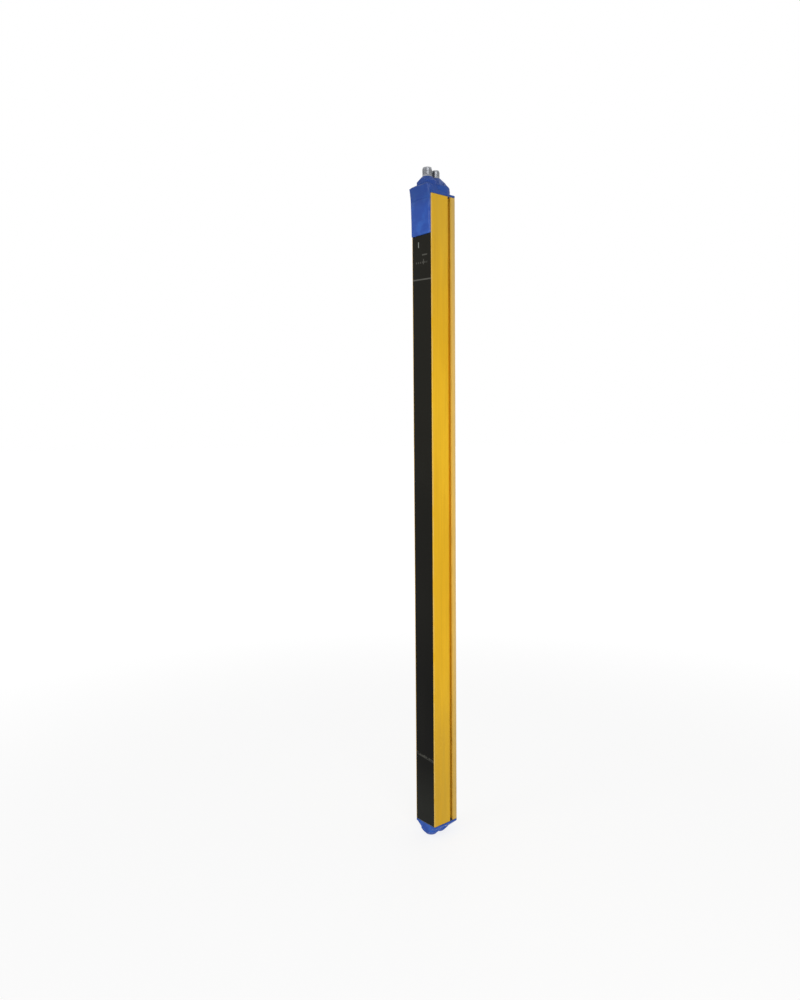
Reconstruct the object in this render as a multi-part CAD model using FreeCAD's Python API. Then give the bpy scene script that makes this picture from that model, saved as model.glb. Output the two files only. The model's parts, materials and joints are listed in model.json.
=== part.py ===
import FreeCAD, Part

import math
import os

from FreeCAD import Vector

# Safety light curtain, one receiver bar, in millimetres.
# A yellow aluminium extrusion carries a dark window at its front, a blue cap on each end and,
# inside, a stack of optics modules with the control electronics above them.
# The origin is the centre of the flat rear face. X runs across the front, the window faces -Y,
# and +Z runs up the bar to the end with the connectors.

# ---- driving dimensions ----
section_width = 42.0
section_depth = 48.0
bar_length = 928.0
gasket_thickness = 1.0
upper_cap_height = 27.0
lower_cap_height = 18.0
connector_spacing = 16.0
connector_depth = 19.6  # midpoint of the two connectors, behind the front
thread_radius = {"supply": 7.0, "extension": 6.0}
connector_reach = {"supply": 13.0, "extension": 11.4}  # above the upper cap

# ---- extrusion section: x from the middle plane, depths from the front ----
lip_width = 1.2
rear_corner_radius = 4.0
rebate_depth = 2.8
ledge_inner = 16.4
ledge_thickness = 2.0
side_wall_inner = 18.8
rear_wall_inner = 46.0
slot_centre = 34.5
slot_mouth = 5.0
slot_lip = 1.6
slot_chamber_width = 9.2
slot_chamber_floor = 14.4
slot_wall = 1.8
slot_edge = 0.4
screw_x = 16.0
screw_depth = 25.4
screw_boss_radius = 3.3
screw_core_radius = 1.65
screw_boss_gap = 1.2

# ---- window, its seals and the head cover ----
window_thickness = 2.2
window_side_gap = 0.1
window_chamfer = 0.3
seal_thickness = 0.5
seal_width = 2.4
head_cover_length = 48.5
cover_joint = 0.2
cover_proud = (2.2, 3.5)  # how far it stands forward at its foot and at its top
cover_toe = 1.4
plate_edge = 0.6
apron_drop = 5.5
apron_proud = (3.5, 6.0)
apron_rise = 11.6
crown_depth = 4.0
crown_foot = 2.0
crown_top = 18.0
crown_half_top = 10.0
crown_side_height = 11.0

# ---- end caps: heights are from the seat on the gasket ----
gasket_inset = 0.3
gasket_width = 2.2
gasket_inner_radii = (1.0, 2.0)
flange_height = 2.4
corner_bevel = 2.6
shoulder_inset = 6.2
shoulder_bevel = 6.0
upper_shoulder_height = 13.0
lower_shoulder_height = 9.0
tower_radius = 15.0
upper_tower_wall = 19.5
lower_tower_wall = 11.0
upper_top_radius = {"supply": 8.0, "extension": 7.4}
lower_top_radius = {"supply": 8.4, "extension": 8.4}
wiring_room_half = 9.6
wiring_room_depths = (4.0, 44.0)
wiring_room_bevel = 2.0
upper_room_height = 10.5
lower_room_height = 7.0
tower_room_half = 8.6
tower_room_bevel = 3.2
upper_tower_roof = 23.5
lower_tower_roof = 14.5
screw_pocket_radius = 3.6
screw_pocket_floor = 3.0
screw_head_radius = 3.2
screw_head_height = 2.6
screw_length = 12.0
screw_hole_radius = 2.1

# ---- connectors: heights are from the upper cap's seat ----
shell_wall = 1.4
bore_depth = 9.5
neck_top = 27.5
neck_margin = 0.15
flange_margin = 1.4
flange_bottom = 17.5
flange_top = 22.5
insert_tail = 1.5
coding_rib = (0.6, 0.7, 7.5)  # half width, height from the bore, length above the insert's face
contact_counts = {"supply": 8, "extension": 5}
contact_circle = {"supply": 3.4, "extension": 2.75}
contact_radius = 0.45
contact_sides = 8
contact_setback = 1.6
connector_board_top = 9.2
connector_board_inset = (2.0, 4.0)

# ---- optics modules ----
module_count = 5
module_length = 160.0
module_joint = 0.4
module_front = 7.2
module_rear = 21.9
module_half_width = side_wall_inner
module_wall = 1.5
module_face = 2.0
lenses_per_module = 4
lens_half = 12.0
lens_curve_radius = 50.0
lens_strip_half = 14.5
lens_strip_thickness = 1.8
well_half = 13.0
well_rear_half = 3.5
funnel_wall = 1.2
board_thickness = 1.6
beam_board_half = 10.5
diode_half = 2.2
diode_height = 1.4
ribbon_thickness = 0.4
ribbon_half_width = 5.0
ribbon_arch = 2.2
ribbon_feet = (5.0, 9.0)
ribbon_crest_half = 2.5

# ---- electronics above the optics ----
main_board_depth = 11.0
power_board_depth = 17.4
control_board_half = 15.5
tray_gap = 0.5
tray_to_end = 9.5
tray_opening_half = 14.0
tray_frame = 4.0
tray_floor = 2.0
lead_notch = (7.0, 5.0)
display_drop = 74.5  # below the extrusion's upper end
display_face = 5.6
display_x = (-9.0, 1.0)
display_half_height = 7.0
digit_x = -4.0
digit_lean = 8.0  # degrees
segment_width = 1.0
segment_cut = 0.4
segment_pitch = 4.4
segment_side = 2.5
level_segment_half = 1.8
upright_segment_half = 1.5
lamp_drop = 98.5
lamp_places = (-7.5, -2.5, 2.5, 7.5)
lamp_half = (1.2, 1.0)
lamp_height = 1.2
guide_front = 5.6
guide_bar = (1.0, 2.4)
guide_half = (10.0, 1.6)
guide_finger_half = (1.0, 1.4)
guide_leg_half = 0.6
guide_gap = 0.1
transformer = ((-9.0, 9.0), 8.5, (14.0, 32.0))  # x, height off the board, z from the tray's foot
capacitor = ((1.5, 9.5), 7.0, (44.0, 57.0))
lead_thickness = 0.5
lead_half_width = 6.0
lead_reach = 6.0
spring_thickness = 0.35
spring_width = 8.0
spring_place = 70.0
pad_half_width = 15.0

# ---- derived places ----
half_length = bar_length / 2
half_width = section_width / 2
rebate_half = half_width - lip_width
front_half = rebate_half - window_side_gap
board_front = module_rear - 1.0
upper_seat = half_length + gasket_thickness
stack_bottom = 10.0 - half_length
stack_top = stack_bottom + module_count * module_length
cover_top = half_length - apron_drop
cover_bottom = cover_top - head_cover_length
tray_bottom = stack_top + tray_gap
tray_top = half_length - tray_to_end
display_z = half_length - display_drop
lamp_z = half_length - lamp_drop
connector_depths = {
    "supply": connector_depth - connector_spacing / 2,
    "extension": connector_depth + connector_spacing / 2,
}


# ---- helpers ----
def y_at(depth):
    """The Y of a point that lies that far behind the front face."""
    return depth - section_depth


def block(x, depth, z):
    """A box given as (low, high) pairs of X, depth behind the front, and Z."""
    corner = Vector(x[0], y_at(depth[0]), z[0])
    return Part.makeBox(x[1] - x[0], depth[1] - depth[0], z[1] - z[0], corner)


def round_bar(x, depth, z, radius, top_radius=None):
    """An upright cylinder, or a cone where the top has its own radius."""
    base = Vector(x, y_at(depth), z[0])
    height = z[1] - z[0]
    if top_radius is None:
        return Part.makeCylinder(radius, height, base)
    return Part.makeCone(radius, top_radius, height, base)


def polygon_face(points):
    return Part.Face(Part.makePolygon([*points, points[0]]))


def prism(x, depth, z, radius, sides=6):
    """An upright bar with flat sides, given the radius to its corners."""
    turns = [2 * math.pi * (i + 0.5) / sides for i in range(sides)]
    y = y_at(depth)
    corners = [Vector(x + radius * math.cos(t), y + radius * math.sin(t), z[0]) for t in turns]
    return polygon_face(corners).extrude(Vector(0, 0, z[1] - z[0]))


def side_profile(points, half):
    """A solid whose outline is given as (depth, z) points, extruded across X by half each way."""
    outline = polygon_face([Vector(-half, y_at(d), z) for d, z in points])
    return outline.extrude(Vector(2 * half, 0, 0))


def mirrored(shape):
    """The shape's twin on the other side of the bar's middle plane."""
    return shape.mirror(Vector(0, 0, 0), Vector(1, 0, 0))


def pair(shape):
    return [shape, mirrored(shape)]


def outline_face(z, inset=0.0, front_radius=lip_width, rear_radius=rear_corner_radius):
    """The bar's outline at height z, moved in by inset, as a face with four rounded corners."""
    half = half_width - inset
    y0 = y_at(inset)
    y1 = -inset
    corners = (
        (half, y0, front_radius, -90),
        (half, y1, rear_radius, 0),
        (-half, y1, rear_radius, 90),
        (-half, y0, front_radius, 180),
    )
    arcs = []
    for x, y, radius, start in corners:
        centre = Vector(x - math.copysign(radius, x), y + (radius if y == y0 else -radius), z)
        turns = [math.radians(start + step) for step in (0, 45, 90)]
        arcs.append([centre + Vector(math.cos(t), math.sin(t), 0) * radius for t in turns])
    edges = []
    for here, following in zip(arcs, arcs[1:] + arcs[:1]):
        edges.append(Part.Arc(*here).toShape())
        edges.append(Part.LineSegment(here[2], following[0]).toShape())
    return Part.Face(Part.Wire(edges))


def bevelled_corners(half, front, rear, bevel, z):
    """The eight corners of a bevelled rectangle at height z, given its sides' depths."""
    right = [(half - bevel, front), (half, front + bevel), (half, rear - bevel), (half - bevel, rear)]
    left = [(-x, depth) for x, depth in reversed(right)]
    return [Vector(x, y_at(depth), z) for x, depth in right + left]


def frustum(lower, upper):
    """A solid with flat faces between two outlines whose sides are parallel in pairs."""
    count = len(lower)
    sides = []
    for i in range(count):
        j = (i + 1) % count
        sides.append(polygon_face([lower[i], lower[j], upper[j], upper[i]]))
    return Part.Solid(Part.Shell([polygon_face(lower), polygon_face(upper), *sides]))


def fused(shapes):
    whole = shapes[0].fuse(list(shapes[1:])) if len(shapes) > 1 else shapes[0]
    return whole.removeSplitter()


def save(name, shape):
    """Writes one node. A group of separate pieces is given as a list of solids."""
    if isinstance(shape, list):
        shape = Part.Compound(shape)
    if not shape.isValid() or shape.Volume <= 0:
        raise ValueError(f"{name} is not a sound solid")
    shape.exportStep(f"parts/{name}.step")


# ---- extrusion ----
def outer_section():
    """The outline with its two undercut slots, as a face in the XY plane."""
    face = outline_face(0)
    half_mouth = slot_mouth / 2
    half_chamber = slot_chamber_width / 2
    half_entry = half_mouth + slot_edge
    slot = [
        (half_width + 1, slot_centre - half_entry),
        (half_width, slot_centre - half_entry),
        (half_width - slot_edge, slot_centre - half_mouth),
        (half_width - slot_lip, slot_centre - half_mouth),
        (half_width - slot_lip, slot_centre - half_chamber),
        (slot_chamber_floor, slot_centre - half_chamber),
        (slot_chamber_floor, slot_centre + half_chamber),
        (half_width - slot_lip, slot_centre + half_chamber),
        (half_width - slot_lip, slot_centre + half_mouth),
        (half_width - slot_edge, slot_centre + half_mouth),
        (half_width, slot_centre + half_entry),
        (half_width + 1, slot_centre + half_entry),
    ]
    opening = polygon_face([Vector(x, y_at(d), 0) for x, d in slot])
    return face.cut(pair(opening))


def inner_section():
    """The hollow, open through the window rebate, less the channels that the cap screws bite into."""
    slot_front = slot_centre - slot_chamber_width / 2 - slot_wall
    slot_rear = slot_centre + slot_chamber_width / 2 + slot_wall
    slot_inner = slot_chamber_floor - slot_wall
    ledge_rear = rebate_depth + ledge_thickness
    half = [
        (rebate_half, -1),
        (rebate_half, rebate_depth),
        (ledge_inner, rebate_depth),
        (ledge_inner, ledge_rear),
        (side_wall_inner, ledge_rear + side_wall_inner - ledge_inner),
        (side_wall_inner, slot_front),
        (slot_inner, slot_front),
        (slot_inner, slot_rear),
        (side_wall_inner, slot_rear),
        (side_wall_inner, rear_wall_inner),
    ]
    points = half + [(-x, d) for x, d in reversed(half)]
    hollow = polygon_face([Vector(x, y_at(d), 0) for x, d in points])
    centre = Vector(screw_x, y_at(screw_depth), 0)
    up = Vector(0, 0, 1)
    boss = Part.Face(Part.Wire(Part.Circle(centre, up, screw_boss_radius).toShape()))
    core = Part.Face(Part.Wire(Part.Circle(centre, up, screw_core_radius).toShape()))
    far = screw_boss_radius + 1
    half_gap = screw_boss_gap / 2
    gap_corners = ((-far, -half_gap), (0, -half_gap), (0, half_gap), (-far, half_gap))
    gap = polygon_face([centre + Vector(x, y, 0) for x, y in gap_corners])
    hollow = hollow.cut(pair(boss)).fuse([*pair(core), *pair(gap)])
    return hollow


def housing_profile():
    section = outer_section().cut(inner_section()).removeSplitter()
    bar = section.extrude(Vector(0, 0, bar_length))
    bar.translate(Vector(0, 0, -half_length))
    return bar


# ---- front ----
def front_window():
    back = rebate_depth - seal_thickness
    front = back - window_thickness
    pane = block((-front_half, front_half), (front, back), (-half_length, cover_bottom - cover_joint))
    front_edges = [e for e in pane.Edges if all(abs(v.Y - y_at(front)) < 1e-6 for v in e.Vertexes)]
    return pane.makeChamfer(window_chamfer, front_edges)


def window_seal():
    """The right-hand foam strip between the ledge and the pane and head cover."""
    span = (rebate_depth - seal_thickness, rebate_depth)
    return block((front_half - seal_width, front_half), span, (-half_length, cover_top - cover_joint))


def proud_plate(top, bottom, back):
    """A plate in the rebate that curves forward as it rises.

    top and bottom are (z, how far it stands proud); back is the depth of its rear face."""
    middle = ((top[0] + 2 * bottom[0]) / 3, bottom[1] + 0.2 * (top[1] - bottom[1]))
    curve = Part.Arc(*[Vector(-front_half, y_at(-proud), z) for z, proud in (top, middle, bottom)])
    corners = [
        Vector(-front_half, y_at(-bottom[1]), bottom[0]),
        Vector(-front_half, y_at(back), bottom[0]),
        Vector(-front_half, y_at(back), top[0]),
        Vector(-front_half, y_at(-top[1]), top[0]),
    ]
    outline = Part.Wire([curve.toShape(), *Part.makePolygon(corners).Edges])
    plate = Part.Face(outline).extrude(Vector(2 * front_half, 0, 0))
    front_sides = [e for e in plate.Edges if e.Curve.TypeId == "Part::GeomCircle"]
    return plate.makeChamfer(plate_edge, front_sides)


def head_cover():
    """The blue blanking cover above the pane, seated in the rebate, with a sloped toe."""
    top = (cover_top - cover_joint, cover_proud[1])
    cover = proud_plate(top, (cover_bottom, cover_proud[0]), rebate_depth - seal_thickness)
    toe_slope = [(-cover_proud[0], cover_toe), (-0.6, -1.0), (-4.0, -1.0), (-4.0, cover_toe + 1.0)]
    toe = side_profile([(depth, cover_bottom + z) for depth, z in toe_slope], half_width)
    return cover.cut(toe)


# ---- end caps ----
def cap_outside(height, shoulder_height, tower_wall, top_radius):
    """Flange, leaning shoulder and two towers with sloping crowns, standing on z = 0."""
    flange = outline_face(0).extrude(Vector(0, 0, flange_height))
    foot = bevelled_corners(half_width, 0, section_depth, corner_bevel, flange_height)
    top_half = half_width - shoulder_inset
    top_rear = section_depth - shoulder_inset
    top = bevelled_corners(top_half, 0, top_rear, shoulder_bevel, shoulder_height)
    pieces = [flange, frustum(foot, top)]
    for name, depth in connector_depths.items():
        pieces.append(round_bar(0, depth, (flange_height, tower_wall), tower_radius))
        pieces.append(round_bar(0, depth, (tower_wall, height), tower_radius, top_radius[name]))
    limit = outline_face(0).extrude(Vector(0, 0, height))
    return fused(pieces).common(limit)


def tower_room_outline(z):
    """The outline of the room under both towers, at height z."""
    front = connector_depths["supply"] - tower_room_half
    rear = connector_depths["extension"] + tower_room_half
    return bevelled_corners(tower_room_half, front, rear, tower_room_bevel, z)


def cap_hollows(room_height, tower_roof):
    """The wiring room, the room under the towers, and the two screw holes with their pockets."""
    room_foot = bevelled_corners(wiring_room_half, *wiring_room_depths, wiring_room_bevel, -1)
    room_top = bevelled_corners(wiring_room_half, *wiring_room_depths, wiring_room_bevel, room_height)
    room = frustum(room_foot, room_top)
    tower_room = frustum(tower_room_outline(room_height - 1), tower_room_outline(tower_roof))
    hole = round_bar(screw_x, screw_depth, (-1, screw_pocket_floor + 1), screw_hole_radius)
    pocket_span = (screw_pocket_floor, upper_cap_height)
    pocket = round_bar(screw_x, screw_depth, pocket_span, screw_pocket_radius)
    return [room, tower_room, *pair(hole), *pair(pocket)]


def apron():
    """The front skirt of the upper cap: it flares forward, and its foot fills the rebate's end."""
    drop = -apron_drop - gasket_thickness
    skirt = proud_plate((apron_rise, apron_proud[1]), (drop, apron_proud[0]), 0.0)
    heel = block((-front_half, front_half), (-0.5, rebate_depth), (drop, -gasket_thickness))
    crown_front = -apron_proud[1]
    slope = [
        (crown_front + 0.6, apron_rise),
        (crown_front + 1.4, apron_rise + 1.4),
        (crown_depth, crown_top),
        (crown_depth, crown_foot),
        (-1.0, crown_foot),
    ]
    lean = [(front_half, crown_foot), (front_half, crown_side_height), (crown_half_top, crown_top)]
    gable = lean + [(-x, z) for x, z in reversed(lean)]
    limit = polygon_face([Vector(x, y_at(-8.0), z) for x, z in gable]).extrude(Vector(0, 16.0, 0))
    return [skirt, heel, side_profile(slope, front_half).common(limit)]


def upper_cap():
    solid = cap_outside(upper_cap_height, upper_shoulder_height, upper_tower_wall, upper_top_radius)
    holes = [
        prism(0, depth, (upper_tower_roof - 1, upper_cap_height + 1), neck_radius(name))
        for name, depth in connector_depths.items()
    ]
    cap = fused([solid, *apron()]).cut(cap_hollows(upper_room_height, upper_tower_roof) + holes)
    cap.translate(Vector(0, 0, upper_seat))
    return cap


def lower_cap():
    """The low cap with blind towers, turned to face down with its towers still toward the front."""
    solid = cap_outside(lower_cap_height, lower_shoulder_height, lower_tower_wall, lower_top_radius)
    cap = solid.cut(cap_hollows(lower_room_height, lower_tower_roof))
    cap = cap.mirror(Vector(0, 0, 0), Vector(0, 0, 1))
    cap.translate(Vector(0, 0, -upper_seat))
    return cap


def gasket_ring():
    """The outline of a cap gasket, standing on z = 0."""
    outer = outline_face(0, gasket_inset)
    inner = outline_face(0, gasket_inset + gasket_width, *gasket_inner_radii)
    return outer.cut(inner).extrude(Vector(0, 0, gasket_thickness))


def upper_cap_gasket():
    """The upper ring passes behind the rebate, which the cap's skirt fills."""
    front = rebate_depth + gasket_inset
    span = (0, gasket_thickness)
    rebate = block((-rebate_half, rebate_half), (-1, front), span)
    bridge = block((-rebate_half, rebate_half), (front, front + gasket_width), span)
    gasket = fused([gasket_ring().cut(rebate), bridge])
    gasket.translate(Vector(0, 0, half_length))
    return gasket


def lower_cap_gasket():
    gasket = gasket_ring()
    gasket.translate(Vector(0, 0, -upper_seat))
    return gasket


def cap_screws(upward):
    """Thread-forming screws with hexagon heads, standing on the floors of the cap's pockets."""
    floor = upper_seat + screw_pocket_floor
    head = prism(screw_x, screw_depth, (floor, floor + screw_head_height), screw_head_radius)
    shank = round_bar(screw_x, screw_depth, (floor - screw_length, floor), screw_core_radius)
    screws = pair(fused([head, shank]))
    if upward:
        return screws
    return [screw.mirror(Vector(0, 0, 0), Vector(0, 0, 1)) for screw in screws]


# ---- connectors ----
def lifted(shape):
    shape.translate(Vector(0, 0, upper_seat))
    return shape


def neck_radius(name):
    """To the corners of the hexagon neck that keeps a connector from turning in the cap."""
    return thread_radius[name] + neck_margin


def bore_radius(name):
    return thread_radius[name] - shell_wall


def connector_tip(name):
    return upper_cap_height + connector_reach[name]


def connector_shell(name, depth):
    """A threaded tube, its neck through the tower's roof, and the flange that seats under it."""
    tip = connector_tip(name)
    thread = round_bar(0, depth, (neck_top, tip), thread_radius[name])
    neck = prism(0, depth, (flange_top, neck_top), neck_radius(name))
    flange = prism(0, depth, (flange_bottom, flange_top), thread_radius[name] + flange_margin)
    bore = round_bar(0, depth, (flange_bottom - 1, tip + 1), bore_radius(name))
    return lifted(fused([thread, neck, flange]).cut(bore))


def contact_prisms(name, depth, span):
    """Contacts evenly spaced on a circle, with one more at the centre, over the given heights."""
    ring = contact_counts[name] - 1
    circle = contact_circle[name]
    turns = [2 * math.pi * (i + 0.5) / ring for i in range(ring)]
    places = [(0.0, 0.0)] + [(circle * math.cos(t), circle * math.sin(t)) for t in turns]
    return [prism(x, depth + dy, span, contact_radius, contact_sides) for x, dy in places]


def connector_insert(name, depth):
    """The moulded core that carries the contacts, with the coding rib along the bore."""
    face = connector_tip(name) - bore_depth
    bore = bore_radius(name)
    tail = flange_bottom - insert_tail
    half, height, length = coding_rib
    core = round_bar(0, depth, (tail, face), bore)
    rib_span = (depth - bore + 0.1, depth - bore + 0.1 + height)
    rib = block((-half, half), rib_span, (face - 1, face + length))
    return lifted(fused([core, rib]).cut(contact_prisms(name, depth, (tail - 1, face + 1))))


def connector_contacts(name, depth):
    """The contacts, which stand on the connector board and end just inside the shell's mouth."""
    span = (connector_board_top, connector_tip(name) - contact_setback)
    return [lifted(contact) for contact in contact_prisms(name, depth, span)]


def connector_gasket():
    """One rubber sheet between both shells' flanges and the tower roof."""
    sheet = polygon_face(tower_room_outline(flange_top))
    sheet = sheet.extrude(Vector(0, 0, upper_tower_roof - flange_top))
    span = (flange_top - 1, upper_tower_roof + 1)
    holes = [prism(0, depth, span, neck_radius(name)) for name, depth in connector_depths.items()]
    return lifted(sheet.cut(holes))


def connector_board():
    """The board in the upper cap's wiring room that the contacts are soldered to."""
    front, rear = wiring_room_depths
    front_inset, rear_inset = connector_board_inset
    span = (front + front_inset, rear - rear_inset)
    height = (connector_board_top - board_thickness, connector_board_top)
    return lifted(block((-wiring_room_half, wiring_room_half), span, height))


# ---- optics ----
def module_span(index):
    bottom = stack_bottom + index * module_length
    return bottom + module_joint / 2, bottom + module_length - module_joint / 2


def lens_centres(index):
    pitch = module_length / lenses_per_module
    return [stack_bottom + index * module_length + (n + 0.5) * pitch for n in range(lenses_per_module)]


def square_at(depth, half, z):
    corners = ((-half, -half), (half, -half), (half, half), (-half, half))
    return [Vector(x, y_at(depth), z + up) for x, up in corners]


def optics_carrier(index):
    """A moulded tray: a front plate and rim, with one tapering light funnel behind each lens."""
    low, high = module_span(index)
    rim = block((-module_half_width, module_half_width), (module_front, module_rear), (low, high))
    inner = module_half_width - module_wall
    room = (module_front + module_face, module_rear + 1)
    inside = block((-inner, inner), room, (low + module_wall, high - module_wall))
    wells = []
    funnels = []
    for z in lens_centres(index):
        mouth = square_at(module_front - 0.1, well_half, z)
        wells.append(frustum(mouth, square_at(board_front + 0.1, well_rear_half, z)))
        shoulder = square_at(module_front + 1.0, well_half + funnel_wall, z)
        funnels.append(frustum(shoulder, square_at(board_front, well_rear_half + funnel_wall, z)))
    return fused([rim.cut(inside), *funnels]).cut(wells)


def lens_strip(index):
    """A clear strip with a shallow lens pad over each funnel, curved both ways."""
    low, high = module_span(index)
    face = module_front - lens_strip_thickness
    strip = block((-lens_strip_half, lens_strip_half), (face, module_front), (low + 1, high - 1))
    curve = lens_curve_radius
    sag = curve - math.sqrt(curve**2 - lens_half**2)
    axis_y = y_at(face - sag + curve)
    width = (-lens_half, lens_half)
    pieces = [strip]
    for z in lens_centres(index):
        level = Part.makeCylinder(curve, 2 * lens_half, Vector(-lens_half, axis_y, z), Vector(1, 0, 0))
        upright = Part.makeCylinder(curve, 2 * lens_half, Vector(0, axis_y, z - lens_half))
        pad = block(width, (face - 2 * sag, module_front - 0.5), (z - lens_half, z + lens_half))
        pieces.append(pad.common(level).common(upright))
    return fused(pieces)


def beam_board(index):
    low, high = module_span(index)
    span = (board_front, board_front + board_thickness)
    return block((-beam_board_half, beam_board_half), span, (low + 2, high - 2))


def beam_diodes():
    """One infrared receiver for each lens, on the front of the beam boards."""
    diodes = []
    width = (-diode_half, diode_half)
    span = (board_front - diode_height, board_front)
    for index in range(module_count):
        for z in lens_centres(index):
            diodes.append(block(width, span, (z - diode_half, z + diode_half)))
    return diodes


def link_ribbons():
    """Arched flat links behind the boards, from each beam board to the next."""
    back = board_front + board_thickness
    near, far = ribbon_feet
    crest = ribbon_crest_half
    skew = ribbon_thickness / 2
    half_line = [
        (back, far, back + ribbon_thickness, far),
        (back, near, back + ribbon_thickness, near + skew),
        (back + ribbon_arch, crest, back + ribbon_arch + ribbon_thickness, crest + skew),
    ]
    inner = [(d, -z) for d, z, _, _ in half_line] + [(d, z) for d, z, _, _ in reversed(half_line)]
    outer = [(d, -z) for _, _, d, z in half_line] + [(d, z) for _, _, d, z in reversed(half_line)]
    ribbons = []
    for index in range(1, module_count):
        ribbon = side_profile(inner + outer[::-1], ribbon_half_width)
        ribbon.translate(Vector(0, 0, stack_bottom + index * module_length))
        ribbons.append(ribbon)
    return ribbons


# ---- electronics above the optics ----
def board_tray():
    """The open moulded frame that holds the two boards by their long edges."""
    tray_height = (tray_bottom, tray_top)
    outer = block((-module_half_width, module_half_width), (module_front, module_rear), tray_height)
    through = (module_front - 1, module_rear + 1)
    opening_height = (tray_bottom + tray_frame, tray_top - tray_frame)
    opening = block((-tray_opening_half, tray_opening_half), through, opening_height)
    grooves = []
    for depth in (main_board_depth, power_board_depth):
        span = (depth, depth + board_thickness)
        height = (tray_bottom + tray_floor, tray_top + 1)
        grooves.append(block((-control_board_half, control_board_half), span, height))
    half, drop = lead_notch
    notch = block((-half, half), (power_board_depth, module_rear + 1), (tray_top - drop, tray_top + 1))
    return outer.cut([opening, *grooves, notch])


def control_board(depth):
    """One of the two boards in the tray, given the depth of its front."""
    height = (tray_bottom + tray_floor, tray_top)
    return block((-control_board_half, control_board_half), (depth, depth + board_thickness), height)


def status_display():
    """One seven-segment digit in its package, facing the pane."""
    height = (display_z - display_half_height, display_z + display_half_height)
    body = block(display_x, (display_face, main_board_depth), height)
    cut = (display_face - 1, display_face + segment_cut)
    half = segment_width / 2
    lean = math.tan(math.radians(digit_lean))
    segments = []
    for level in (-1, 0, 1):
        z = display_z + level * segment_pitch
        width = (digit_x - level_segment_half, digit_x + level_segment_half)
        segments.append(block(width, cut, (z - half, z + half)))
    for side in (-1, 1):
        for level in (-1, 1):
            rise = level * segment_pitch / 2
            x = digit_x + side * segment_side + lean * rise
            z = display_z + rise
            segments.append(
                block((x - half, x + half), cut, (z - upright_segment_half, z + upright_segment_half))
            )
    return body.cut(segments)


def upright_post(x, span, half):
    """A post behind the pane at a lamp's height; half is its half width and half height."""
    return block((x - half[0], x + half[0]), span, (lamp_z - half[1], lamp_z + half[1]))


def status_lamps():
    """Four small lamps in a row on the main board, behind the light guide."""
    span = (main_board_depth - lamp_height, main_board_depth)
    return [upright_post(x, span, lamp_half) for x in lamp_places]


def light_guide():
    """A clear comb with one finger in front of each lamp and a leg at each end."""
    bar = upright_post(0, (guide_front + guide_bar[0], guide_front + guide_bar[1]), guide_half)
    finger_span = (guide_front, main_board_depth - lamp_height - guide_gap)
    fingers = [upright_post(x, finger_span, guide_finger_half) for x in lamp_places]
    leg_span = (guide_front + guide_bar[0], main_board_depth)
    leg = upright_post(guide_half[0], leg_span, (guide_leg_half, guide_half[1]))
    return fused([bar, *fingers, *pair(leg)])


def power_parts():
    """Transformer and two film capacitors on the back of the power board."""
    back = power_board_depth + board_thickness
    solids = []
    for x, height, z in (transformer, capacitor):
        solids.append(block(x, (back, back + height), (tray_bottom + z[0], tray_bottom + z[1])))
    solids.append(mirrored(solids[1]))
    return solids


def connector_ribbon():
    """The flat lead from the connector board down to the power board."""
    back = power_board_depth + board_thickness
    board_z = upper_seat + connector_board_top - board_thickness
    thick = lead_thickness
    out = back + lead_reach
    outline = [
        (back, tray_top - 4.5),
        (back, tray_top - 1),
        (out, tray_top + 5),
        (out, board_z - thick),
        (back + 1, board_z - thick),
        (back + 1, board_z),
        (out + thick, board_z),
        (out + thick, tray_top + 4.8),
        (back + thick, tray_top - 1.2),
        (back + thick, tray_top - 4.5),
    ]
    return side_profile(outline, lead_half_width)


def earth_spring():
    """A bent leaf that bonds the power board to the inside of the extrusion."""
    wall = slot_chamber_floor - slot_wall
    back = power_board_depth + board_thickness
    thick = spring_thickness
    outline = [
        (2.0, back),
        (6.0, back),
        (wall - thick, slot_centre - 4),
        (wall, slot_centre - 3),
        (wall - 1.4, slot_centre + 1),
        (wall - 1.4 - thick, slot_centre + 1),
        (wall - 2 * thick, slot_centre - 3.9),
        (5.8, back + thick),
        (2.0, back + thick),
    ]
    foot = tray_bottom + spring_place
    leaf = polygon_face([Vector(x, y_at(depth), foot) for x, depth in outline])
    return leaf.extrude(Vector(0, 0, spring_width))


def end_pad(z):
    """A foam pad between the stack and a cap, which keeps the modules from rattling."""
    return block((-pad_half_width, pad_half_width), (module_front + 1, power_board_depth), z)


def main():
    os.makedirs("parts", exist_ok=True)
    save("housing_profile", housing_profile())
    save("front_window", front_window())
    save("window_seal_right", window_seal())
    save("window_seal_left", mirrored(window_seal()))
    save("head_cover", head_cover())
    save("upper_cap", upper_cap())
    save("lower_cap", lower_cap())
    save("upper_cap_gasket", upper_cap_gasket())
    save("lower_cap_gasket", lower_cap_gasket())
    save("upper_cap_screws", cap_screws(True))
    save("lower_cap_screws", cap_screws(False))
    for name, depth in connector_depths.items():
        save(f"{name}_connector_shell", connector_shell(name, depth))
        save(f"{name}_connector_insert", connector_insert(name, depth))
        save(f"{name}_connector_contacts", connector_contacts(name, depth))
    save("connector_gasket", connector_gasket())
    save("connector_board", connector_board())
    for index in range(module_count):
        save(f"optics_carrier_{index + 1}", optics_carrier(index))
        save(f"lens_strip_{index + 1}", lens_strip(index))
        save(f"beam_board_{index + 1}", beam_board(index))
    save("beam_diodes", beam_diodes())
    save("link_ribbons", link_ribbons())
    save("board_tray", board_tray())
    save("main_board", control_board(main_board_depth))
    save("power_board", control_board(power_board_depth))
    save("status_display", status_display())
    save("status_lamps", status_lamps())
    save("light_guide", light_guide())
    save("power_parts", power_parts())
    save("connector_ribbon", connector_ribbon())
    save("earth_spring", earth_spring())
    save("lower_end_pad", end_pad((-upper_seat, module_span(0)[0])))
    save("upper_end_pad", end_pad((tray_top, upper_seat)))


main()
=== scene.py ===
import json
import math

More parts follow.
